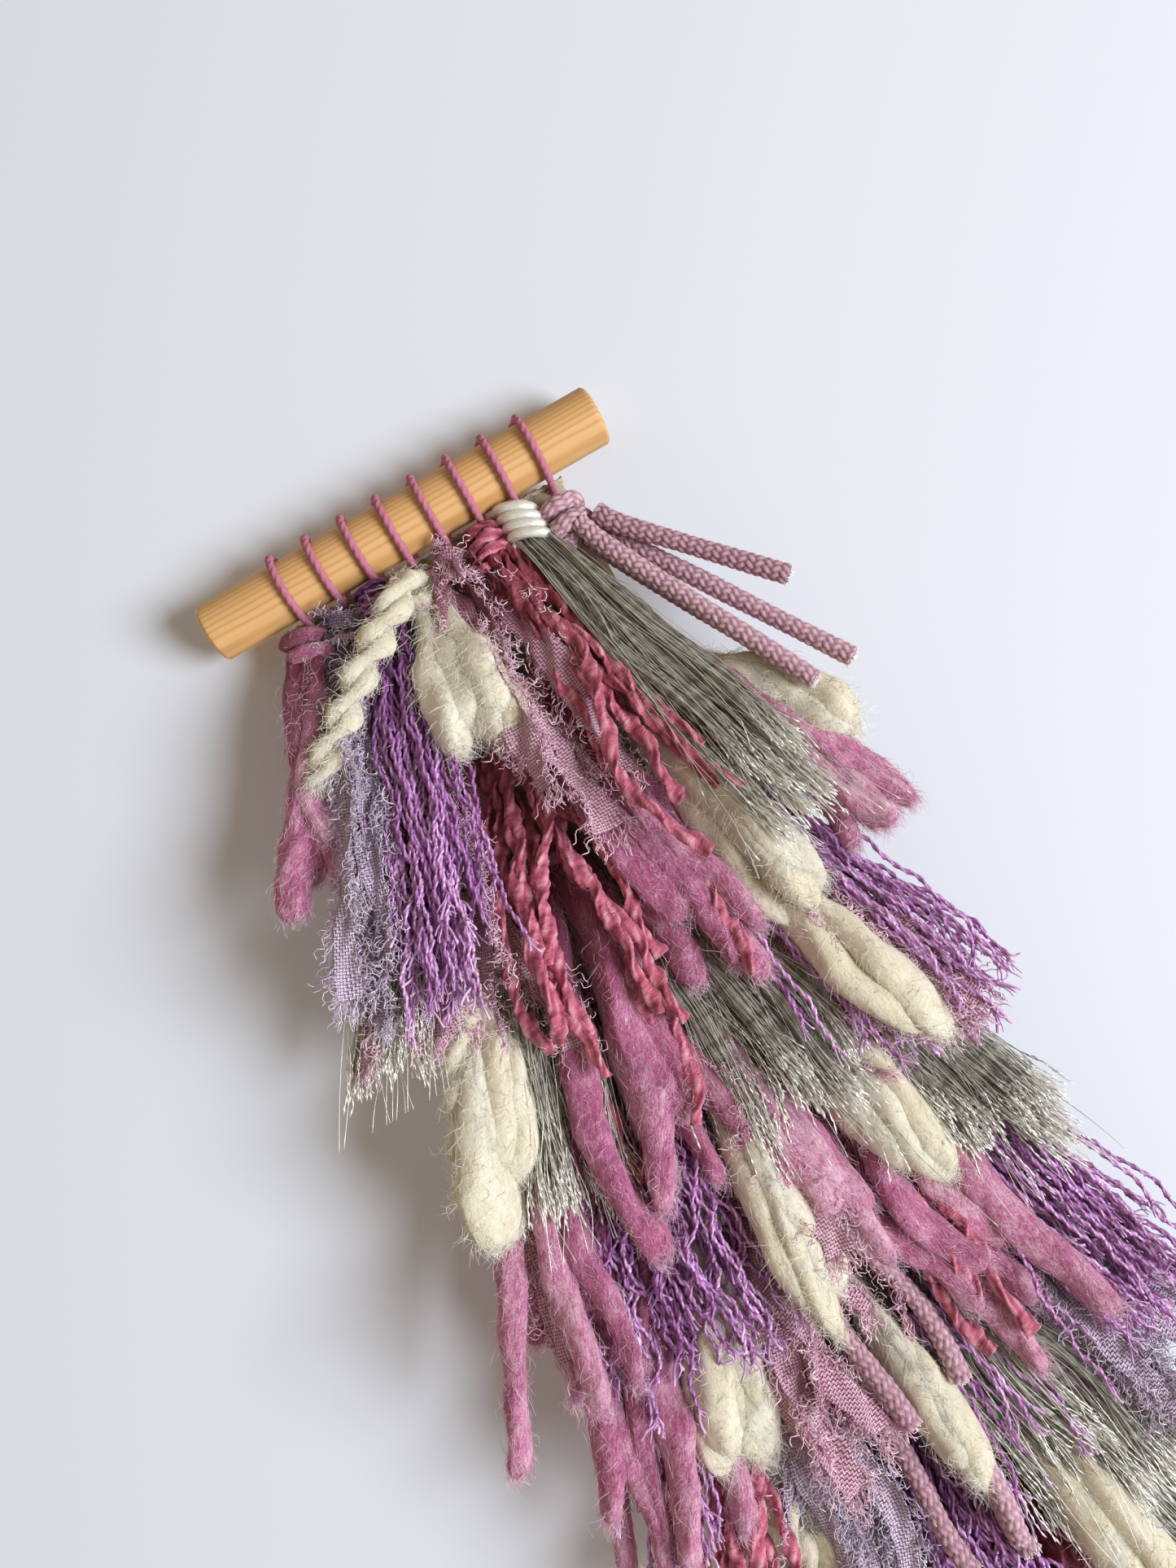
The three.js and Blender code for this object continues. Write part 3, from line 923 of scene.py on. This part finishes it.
def linen(name, dark, middle, light, root_shade):
    """Plain-woven linen: over-and-under threads by place on the strip, with slubs in them; each thread's
    crown is painted lighter and the dips between threads painted darker, as painted shade.
    """
    look = Shader(name, 0.92, 0.2, light)
    parts = look.node("ShaderNodeSeparateXYZ")
    per_thread = math.pi / LINEN_THREAD_PITCH
    look.put(look.strand(per_thread, per_thread), parts.inputs[0])
    warp = look.math("SINE", parts.outputs[0])
    weft = look.math("SINE", parts.outputs[1])
    over = look.math("GREATER_THAN", look.math("MULTIPLY", warp, weft), 0.0)
    front = look.math("MULTIPLY", over, look.math("ABSOLUTE", warp))
    under = look.math("SUBTRACT", 1.0, over)
    back = look.math("MULTIPLY", under, look.math("ABSOLUTE", weft))
    height = look.math("ADD", front, back)
    slubs = look.noise(look.strand(0.5, 0.9), 1.0, 3.0)
    # Painted shade: the weave's height lightens each thread's crown and darkens the dips between
    # threads.
    value = look.total((slubs, 0.45), (height, 0.5), (look.attribute("tone"), 0.15))
    base = look.ramp(value, (0.22, dark), (0.6, middle), (0.95, light))
    # Painted shade: darker towards each strip's root, in the given root shade colour.
    return look.finish(look.painted_root_shade(base, root_shade), height, 0.0006, 1.0)


def satin_ribbon(name, dark, middle, light, root_shade):
    """Woven ribbon with a silk sheen; its tone paints a highlight on its ridges and shade in its
    creases.
    """
    look = Shader(name, 0.42, 0.25, light)
    grain = look.noise(look.strand(9, 2.6), 1.0, 4.0, 0.7)
    folds = look.noise(look.strand(3.0, 0.35), 1.0, 3.0, 0.7)
    value = look.total((grain, 0.2), (folds, 0.45), (look.attribute("tone"), 0.4))
    base = look.ramp(value, (0.25, dark), (0.52, middle), (0.85, light))
    height = look.math("ADD", grain, look.math("MULTIPLY", folds, 2.0))
    # Painted shade: darker towards each ribbon's root, in the given root shade colour.
    return look.finish(look.painted_root_shade(base, root_shade), height, 0.0006, 0.8)


def metal_thread(name, dark, middle, tip):
    """Grey lustrous thread whose cut tips are painted bright: a painted glint on their beads."""
    look = Shader(name, 0.3, 0.1, tip, metallic=0.45)
    streaks = look.noise(look.strand(1.0, 0.3), 1.0, 2.0)
    value = look.math("MULTIPLY_ADD", look.attribute("tone"), 0.6, streaks)
    base = look.ramp(value, (0.45, dark), (1.0, middle))
    # Painted glint: past 0.86 of each thread's length, the colour turns to the bright tip colour.
    free = look.math("MULTIPLY", look.math("SUBTRACT", look.attribute("along"), 0.86), 7.0)
    painted_tip_glint = look.math("MINIMUM", look.math("MAXIMUM", free, 0.0), 1.0)
    return look.finish(look.mix(painted_tip_glint, base, colour(tip)))


def braided(name, dark, middle, light):
    """Matt braided cotton: a painted highlight on the strands that lie on top and painted shade between
    them, carried by the tone.
    """
    look = Shader(name, 0.9, 0.35, light)
    fine = look.noise(look.strand(40, 1.6), 1.0, 3.0)
    blotches = look.noise(look.place(), 300.0, 2.0)
    value = look.total((blotches, 0.2), (fine, 0.3), (look.attribute("tone"), 0.55))
    base = look.ramp(value, (0.3, dark), (0.6, middle), (0.85, light))
    return look.finish(base, fine, 0.0003, 0.7)


def pine(name):
    """Straight-grained pine: growth rings about a far pith, fine pores and a few warm streaks."""
    look = Shader(name, 0.5)
    spots = look.place()
    waver = look.noise(look.place((3, 14, 14)), 4.0, 3.0)
    across = look.node("ShaderNodeVectorMath", operation="MULTIPLY_ADD")
    look.put(spots, across.inputs[0])
    look.put((0.0, 1.0, 1.0), across.inputs[1])
    look.put(PITH_OFFSET, across.inputs[2])
    reach = look.node("ShaderNodeVectorMath", operation="LENGTH")
    look.put(across.outputs[0], reach.inputs[0])
    depth = look.math("MULTIPLY_ADD", waver, 0.0022, reach.outputs["Value"])
    ring = look.math("SINE", look.math("MULTIPLY", depth, TAU / RING_WIDTH))
    late = look.math("POWER", look.math("MULTIPLY_ADD", ring, 0.5, 0.5), 2.5)
    pores = look.noise(look.place((24, 900, 900)), 1.0, 3.0, 0.7)
    warm = look.noise(look.place((4, 60, 60)), 1.0, 2.0)
    value = look.total((pores, 0.36), (late, 0.34), (warm, 0.3))
    base = look.ramp(value, (0.2, "dab279"), (0.5, "d1a268"), (0.85, "ba8850"))
    rough = look.math("MULTIPLY_ADD", pores, 0.25, 0.4)
    return look.finish(base, look.math("ADD", pores, late), 0.0001, 0.35, rough)


def plain_surface(name, text, glow=0.0):
    """A matt pale surface that is clear from behind; glow keeps it pale away from the lamps."""
    look = Shader(name, 0.9)
    set_inputs(look.surface, {"Base Color": colour(text), "Emission Color": colour(text)})
    set_inputs(look.surface, {"Emission Strength": glow})
    behind = look.node("ShaderNodeNewGeometry").outputs["Backfacing"]
    clear = look.node("ShaderNodeBsdfTransparent").outputs[0]
    mix_shaders(look.tree, behind, look.surface.outputs[0], clear, "Material Output")
    return look.material


# The last colour given to soft_fibre for wool, and to plied, linen and satin_ribbon, is the painted
# shade at the roots of their strands.
LOOKS = {
    "wool": [
        soft_fibre("wool_strand", "721f44", "c16b95", "f9cee1", 0.35, 0.2, "98546c"),
        loose_thread("wool_hair", "c981a7", "fde4ef"),
    ],
    "roving": [
        soft_fibre("roving_strand", "d6c8a0", "f0e7cd", "faf5e4", 0.4, 0.3),
        loose_thread("roving_hair", "f6efda", "fffef8"),
    ],
    "purple_yarn": [
        plied("purple_ply", "5c1f58", "b36fb6", "f0cdf0", "94689c"),
        loose_thread("purple_end", "b36fb6", "efcdf0"),
    ],
    "lilac_linen": [
        linen("lilac_cloth", "6e5474", "bca4c0", "f0e6f2", "94809c"),
        loose_thread("lilac_fray", "a891ae", "eee4f0"),
    ],
    "mauve_linen": [
        linen("mauve_cloth", "8c4464", "d49cb6", "fde2ec", "a87486"),
        loose_thread("mauve_fray", "cf92ad", "fbe2ec"),
    ],
    "rose_ribbon": [satin_ribbon("rose_silk", "681a30", "c8607c", "f8c8d4", "a86670")],
    # The last colour given to each metal_thread is its painted tip glint.
    "silver_thread": [
        metal_thread("silver_filament", "5c5a4e", "ebe8db", "fdfbf2"),
        metal_thread("silver_wrap", "c9c8be", "eeede4", "ffffff"),
    ],
    "braid": [
        braided("braid_cotton", "68404e", "ba919f", "e2c8d1"),
        loose_thread("braid_hair", "b8929e", "dfccd2"),
        loose_thread("braid_core", "cfc6c4", "f6f2ee"),
    ],
}
COTTON = soft_fibre("cotton_cloth", "b3a27f", "d9ccae", "efe6d0")
LACING = braided("lacing_cotton", "a05070", "c87f96", "e3a8b4")
PINE = pine("pine")


# ---------- curves through chosen points ----------

def smooth_path(points, per_span):
    """A centripetal Catmull-Rom curve, with per_span steps between each pair of points."""
    points = np.asarray(points, float)
    padded = np.vstack([2 * points[0] - points[1], points, 2 * points[-1] - points[-2]])
    out = []
    t = np.linspace(0, 1, per_span, endpoint=False)[:, None]
    for a, b, c, d in zip(padded, padded[1:], padded[2:], padded[3:]):
        one, two, three = (np.linalg.norm(q - p) ** 0.5 for p, q in ((a, b), (b, c), (c, d)))
        leave = ((b - a) / one - (c - a) / (one + two) + (c - b) / two) * two
        arrive = ((c - b) / two - (d - b) / (two + three) + (d - c) / three) * two
        cubic = (2 * b - 2 * c + leave + arrive) * t**3
        out.append(cubic + (-3 * b + 3 * c - 2 * leave - arrive) * t**2 + leave * t + b)
    return np.vstack(out + [points[-1:]])


# ---------- braided cords of the top row ----------

BRAID_DIAMETER = 6.5
BRAID_START = 9.5
BRAID_LAYER = 3.3
BRAID_KNOT_X = 52.6
# For each cut end: the side and the layer it leaves from, and how far it reaches right and down.
BRAID_ENDS = ((-1, -1, 32, 84), (1, -1, 43, 51), (-1, 1, 30, 74), (1, 1, 47, 82))


def add_braid_cords():
    """The four cut ends that leave the right-hand knot, each a free cord."""
    for index, (side, layer, reach_x, reach_down) in enumerate(BRAID_ENDS, 1):
        rng = np.random.default_rng(700 + index)
        start_x = BRAID_KNOT_X + side * BRAID_LAYER
        steps = ((0.0, 0.0), (0.06, 0.1), (0.45, 0.48), (1.0, 1.0))
        span_x = BRAID_KNOT_X + reach_x - start_x
        route = [(start_x + a * span_x, BRAID_START + b * reach_down) for a, b in steps]
        x, down = np.array(route).T
        path = smooth_path(spot("row_01", x, down, -layer * BRAID_LAYER), 80)
        skein = Skein()
        add_braid(skein, rng, path[None], BRAID_DIAMETER / 2)
        node = f"row_01_braid_cord_{index}"
        piece = skein.make(f"braid_cord_{index}", LOOKS["braid"], "braid", "row_01", [node])


def add_braid_knot():
    place = Place("row_01_braid_knot")
    rng = np.random.default_rng(790)
    skein = Skein()
    wraps = knot_helix("top_braid", place, 5.2)
    add_braid(skein, rng, wraps, 3.2, core=False)
    skein.make("braid_knot", LOOKS["braid"], "braid", "row_01", [place.node])


add_braid_cords()
add_braid_knot()


# ---------- dowel, lacing and band ----------

DOWEL_RADIUS = 10.0
LACING_RADIUS = 1.25
LACING_GAP = 0.35
LACING_PASSES = 8
LACING_X = (-43.5, 48.5)
BAND_FRONT = 4.0
BAND_THICKNESS = 3.0
BAND_TOP = -11.0
EYELET_Z = BAND_TOP - 3.7
# Thickness and count of the strands that show behind each kind's knot.
BACK_YARNS = {
    "wool": (2.0, 2),
    "roving": (2.2, 2),
    "purple_yarn": (1.0, 4),
    "lilac_linen": (1.6, 2),
    "mauve_linen": (1.6, 2),
    "rose_ribbon": (1.4, 3),
    "silver_thread": (1.1, 3),
    "braid": (2.2, 2),
}


def add_dowel():
    low, high = box_in_mm("dowel")
    radius = (high.z - low.z) / 2
    inset = np.array([0.0, 0.06, 0.8, 0.95, 2.0])
    shave = np.array([0.8, 0.7, 0.04, 0.0, 0.0])
    middle = np.linspace(low.x + 6, high.x - 6, 24)
    x = np.concatenate([low.x + inset, middle, (high.x - inset)[::-1]])
    radii = radius - np.concatenate([shave, np.zeros(len(middle)), shave[::-1]])
    path = xyz(x, 0.0, 0.0)
    skein = Skein()
    skein.tubes(path[None], radii, circle(120), reference=(0, 0, 1))
    piece = skein.make("pine_dowel", [PINE], "pine", "dowel", ["dowel"])
    for polygon in piece.data.polygons:
        polygon.use_smooth = len(polygon.vertices) == 4


def lacing_points():
    """The cord's way: over the dowel, down its front, back through the band, and on to the next pass."""
    radius = DOWEL_RADIUS + LACING_RADIUS + LACING_GAP
    eyelet_y = BAND_FRONT + BAND_THICKNESS / 2
    behind_y = BAND_FRONT + BAND_THICKNESS + LACING_RADIUS + 0.6
    passes = np.linspace(*LACING_X, LACING_PASSES)
    points = []
    for index, x in enumerate(passes):
        previous = passes[max(index - 1, 0)]
        for degrees in (0, 30, 60, 90):
            share = 0.25 + 0.75 * degrees / 90
            angle = math.radians(degrees)
            between = previous + (x - previous) * share
            points.append((between, radius * math.cos(angle), radius * math.sin(angle)))
        for degrees in (120, 150, 180, 210, 238):
            angle = math.radians(degrees)
            points.append((x, radius * math.cos(angle), radius * math.sin(angle)))
        points.append((x, eyelet_y - 4.5, EYELET_Z + 1.7))
        points.append((x, eyelet_y, EYELET_Z))
        points.append((x, behind_y + 0.6, EYELET_Z - 0.2))
        if index < LACING_PASSES - 1:
            points.append((x + 0.08 * (passes[index + 1] - x), radius + 0.2, EYELET_Z + 4))
        else:
            points.append((x, behind_y + 1.4, EYELET_Z - 4))
    return points


def add_lacing():
    """One three-ply cord under a fine fuzz. Its two cut ends are behind the dowel and the band."""
    path = smooth_path(lacing_points(), 9)[None]
    skein = Skein()
    rng = np.random.default_rng(21)
    sides = 12
    angles = corner_angles(sides)
    section = (1 + 0.12 * np.cos(3 * angles))[:, None] * circle(sides)
    spin = TAU * path_lengths(path) / 9.0
    body = skein.tubes(path, LACING_RADIUS, section, spin=spin)
    fibres(skein, rng, body, 900, (0.8, 2.2), (0.3, 1.2), thickness=0.03, curl=0.2, material=0)
    skein.make("lacing", [LACING], "lacing", "weave", ["lacing_cord"])


def add_band():
    """Weft-faced cotton, each weft thread over and under the warp, with a twined header on top."""
    low, high = box_in_mm("woven_band")
    weft, warp = 2.7, 3.2
    rows = int((high.z - low.z) / (weft / 2))
    columns = int((high.x - low.x) / (warp / 2))
    row, column = np.meshgrid(np.arange(rows + 1), np.arange(columns + 1), indexing="ij")
    rng = np.random.default_rng(31)
    edge = 1 + 0.006 * np.sin(row / 3.0) + rng.normal(0, 0.002, (rows + 1, 1))
    x = (low.x + high.x) / 2 + (column / columns - 0.5) * (high.x - low.x) * edge
    z = high.z - row / rows * (high.z - low.z)
    over = ((row // 2 + column // 2) % 2) * 2 - 1
    swell = np.where(row % 2, 1.0, 0.1) * (0.65 + 0.35 * np.where(column % 2, 1.0, 0.0))
    middle = BAND_FRONT + BAND_THICKNESS / 2
    skein = Skein()
    front = middle - 0.75 - 0.55 * swell * (0.6 + 0.4 * over)
    back = middle + 0.75 + 0.55 * swell * (0.6 - 0.4 * over)
    points = np.concatenate([xyz(x, y, z).reshape(-1, 3) for y in (front, back)])
    index = np.arange(x.size).reshape(x.shape)
    corners = [index[:-1, :-1], index[1:, :-1], index[1:, 1:], index[:-1, 1:]]
    faces = np.stack(corners, axis=-1).reshape(-1, 4)
    rim = np.concatenate([index[0, :-1], index[:-1, -1], index[-1, :0:-1], index[:0:-1, 0]])
    walls = np.stack([rim, np.roll(rim, -1), np.roll(rim, -1) + x.size, rim + x.size], axis=-1)
    quads = np.concatenate([faces, faces[:, ::-1] + x.size, walls])
    flat = points[quads][..., [0, 2]]
    skein.points.append(points)
    skein.tones.append(np.tile(rng.random(rows + 1).repeat(columns + 1), 2))
    skein.alongs.append(np.zeros(len(points)))
    skein.faces.append((quads, flat, 0))
    skein.count = len(points)
    piece = skein.make("cotton_band", [COTTON], "cotton", "weave", ["woven_band"])
    header = Skein()
    for number in range(2):
        t = np.linspace(low.x - 1, high.x + 1, 160)
        height = high.z - 0.6 - 6.2 * number
        for face in (middle - 1.3, middle + 1.3):
            line = xyz(t, face, height + 0.2 * np.sin(t / 5))
            add_yarn(header, rng, line[None], radius=1.15, pitch=6.5)
    header.make("cotton_header", [COTTON], "cotton", "weave")


def add_knot_backs():
    """On the band's back, each tassel's two legs show as short floats in its own colour."""
    back = BAND_FRONT + BAND_THICKNESS + 0.3
    t = np.linspace(0, 1, 24)
    for kind in sorted(BACK_YARNS):
        radius, legs = BACK_YARNS[kind]
        skein = Skein()
        rng = np.random.default_rng(60 + legs)
        for node in sorted(frame["nodes"]):
            if not node.endswith(kind) or not node.startswith("row_"):
                continue
            place = Place(node)
            height = HINGES[place.row][1] + radius * (np.arange(legs) - (legs - 1) / 2) * 1.9
            wide = place.neck * rng.uniform(0.75, 0.95, legs)
            x = place.root_x + wide[:, None] * (2 * t - 1)
            y = back + radius * 1.15 * np.sin(math.pi * t) ** 0.5 - radius * 0.6
            z = height[:, None] + wander(rng, legs, t, 0.15)
            add_yarn(skein, rng, xyz(x, y, z), radius, pitch=5.0)
        skein.make(f"knot_backs_{kind}", LOOKS[kind][:1], kind, "weave")


add_dowel()
add_lacing()
add_band()
add_knot_backs()


# ---------- all the tassels ----------

MAKERS = {
    "wool": wool_tassel,
    "roving": roving_tassel,
    "purple_yarn": yarn_tassel,
    "lilac_linen": shaggy_linen_tassel,
    "mauve_linen": linen_tassel,
    "rose_ribbon": ribbon_tassel,
    "silver_thread": thread_tassel,
    "braid": braid_tassel,
}
# How some tassels fill their place: how far the tips lean right, the length, and how far forward.
ADJUST = {
    "row_01_01_wool": (-2.0, 84.0, 0.0),
    "row_01_02_lilac_linen": (-14.0, 122.0, 1.5),
    "row_01_03_purple_yarn": (-13.0, 128.0, -1.0),
    "row_01_04_roving": (-2.0, 66.0, 3.5),
    "row_01_05_mauve_linen": (-3.0, 112.0, 0.0),
    "row_01_06_rose_ribbon": (-4.0, 126.0, 0.0),
    "row_01_07_silver_thread": (-8.0, 138.0, 1.0),
    "row_02_01_silver_thread": (-6.0, 98.0, 0.0),
    "row_02_06_wool": (4.0, 100.0, -1.0),
    "row_03_06_purple_yarn": (-15.0, 112.0, 1.0),
    "row_04_05_silver_thread": (-8.0, 116.0, 0.0),
}
# What some tassels are made with that their kind usually isn't.
EXTRAS = {
    "row_01_04_roving": {"slub": -50.0},
    "row_01_05_mauve_linen": {"count": 4, "width": 10.5, "fray": 0.8},
    "row_01_07_silver_thread": {"spread": 0.66},
    "row_03_01_roving": {"slub": -40.0},
    "row_07_01_roving": {"slub": -16.0},
    "row_04_02_purple_yarn": {"frizz": True},
    "row_07_03_purple_yarn": {"frizz": True},
}
# Strands of another yarn knotted in over a tassel: kind, how many, lean to the right, and length.
ACCENTS = (
    ("row_02_01_silver_thread", "mauve_linen", 2, 8, 104),
    ("row_02_04_wool", "rose_ribbon", 3, 6, 112),
    ("row_02_06_wool", "roving", 1, 24, 84),
    ("row_03_03_wool", "rose_ribbon", 3, -4, 112),
    ("row_03_05_mauve_linen", "purple_yarn", 14, 2, 108),
    ("row_03_05_mauve_linen", "roving", 1, 6, 122),
    ("row_04_01_wool", "mauve_linen", 2, 5, 112),
    ("row_04_03_wool", "mauve_linen", 2, -6, 108),
    ("row_04_03_wool", "roving", 1, -12, 124),
    ("row_05_01_wool", "purple_yarn", 18, 4, 108),
    ("row_05_04_braid", "mauve_linen", 2, 8, 108),
    ("row_05_05_wool", "rose_ribbon", 3, -5, 112),
    ("row_06_03_braid", "roving", 1, 10, 124),
    ("row_06_04_silver_thread", "purple_yarn", 16, -6, 108),
    ("row_07_04_roving", "lilac_linen", 2, 7, 108),
    ("row_08_01_wool", "lilac_linen", 2, -3, 112),
    ("row_08_04_wool", "purple_yarn", 18, 3, 108),
    ("row_10_02_wool", "rose_ribbon", 3, 2, 112),
)


def add_accents():
    for number, (node, kind, count, lean, length) in enumerate(ACCENTS):
        rng = np.random.default_rng(3000 + number)
        place = Place(node, lean, length + rng.uniform(-8, 8), forward=3.5)
        skein = MAKERS[kind](place, rng, count=count, tied=False)
        skein.make(f"accent_{node[4:9]}_{kind}", LOOKS[kind], kind, place.row)


def add_tassels():
    for number, node in enumerate(sorted(frame["nodes"])):
        parts = node.split("_", 3)
        if len(parts) < 4 or parts[3] not in MAKERS:
            continue
        kind = parts[3]
        rng = np.random.default_rng(1000 + number)
        usual = (rng.uniform(-6, 6), ROW_LENGTH * rng.uniform(0.88, 1.0), rng.uniform(-0.8, 0.8))
        place = Place(node, *ADJUST.get(node, usual))
        skein = MAKERS[kind](place, rng, **EXTRAS.get(node, {}))
        skein.make(f"tassel_{node[4:]}", LOOKS[kind], kind, place.row, [node])


add_tassels()
add_accents()


# ---------- surroundings ----------

# The wall's gap behind the weave, the floor's drop below it, and half the width of both.
WALL_GAP = 0.0006
FLOOR_DROP = 2.6
ROOM_HALF = 9.0
LAMP_AIM = Vector((0.02, 0, -0.15))
# Round soft lamps: where each stands from the aim, its size, its power and its colour.
LAMPS = {
    "window": ((1.55, -1.7, -1.0), 1.3, 88.0, "f4f8ff"),
    "fill": ((-0.9, -1.4, 1.2), 1.6, 1.6, "fff4e6"),
    "back": ((-0.7, 1.5, 0.6), 1.2, 14.0, "ffffff"),
}


def add_plane(name, corners, material):
    mesh = bpy.data.meshes.new(name)
    mesh.from_pydata(corners, [], [(0, 1, 2, 3)])
    mesh.materials.append(material)
    plane = add_object(name, mesh)
    plane.visible_shadow = False
    plane.visible_diffuse = False


def add_lamp(name, offset, size, power, text):
    data = bpy.data.lights.new(name, "AREA")
    data.shape = "DISK"
    data.size = size
    data.energy = power
    data.color = colour(text)[:3]
    light = add_object(name, data)
    light.location = LAMP_AIM + Vector(offset)
    light.rotation_mode = "QUATERNION"
    light.rotation_quaternion = (-Vector(offset)).to_track_quat("-Z", "Y")


def add_room_light():
    """Warm, dim light from all round, in front of a pale neutral backdrop."""
    world = bpy.data.worlds.new("room")
    world.use_nodes = True
    tree = world.node_tree
    warm = tree.nodes["Background"]
    set_inputs(warm, {"Color": colour("ffeacf"), "Strength": 0.33})
    pale = tree.nodes.new("ShaderNodeBackground")
    set_inputs(pale, {"Color": colour("e6e8ec")})
    seen = tree.nodes.new("ShaderNodeLightPath").outputs["Is Camera Ray"]
    mix_shaders(tree, seen, warm.outputs[0], pale.outputs[0], "World Output")
    bpy.context.scene.world = world


def add_surroundings():
    low, high = CAD_BOX
    wall_y = high.y + WALL_GAP
    floor_z = low.z - FLOOR_DROP
    sides = (-ROOM_HALF, ROOM_HALF, ROOM_HALF, -ROOM_HALF)
    wall = [(x, wall_y, z) for x, z in zip(sides, (floor_z, floor_z, ROOM_HALF, ROOM_HALF))]
    floor = [(x, y, floor_z) for x, y in zip(sides, (-ROOM_HALF, -ROOM_HALF, ROOM_HALF, ROOM_HALF))]
    add_plane("wall", wall, plain_surface("pale_wall", "d7dce4"))
    add_plane("floor", floor, plain_surface("pale_floor", "e3e6ec", glow=0.55))
    for name, settings in LAMPS.items():
        add_lamp(name, *settings)
    add_room_light()
    bpy.context.scene.view_settings.view_transform = "Standard"


add_surroundings()
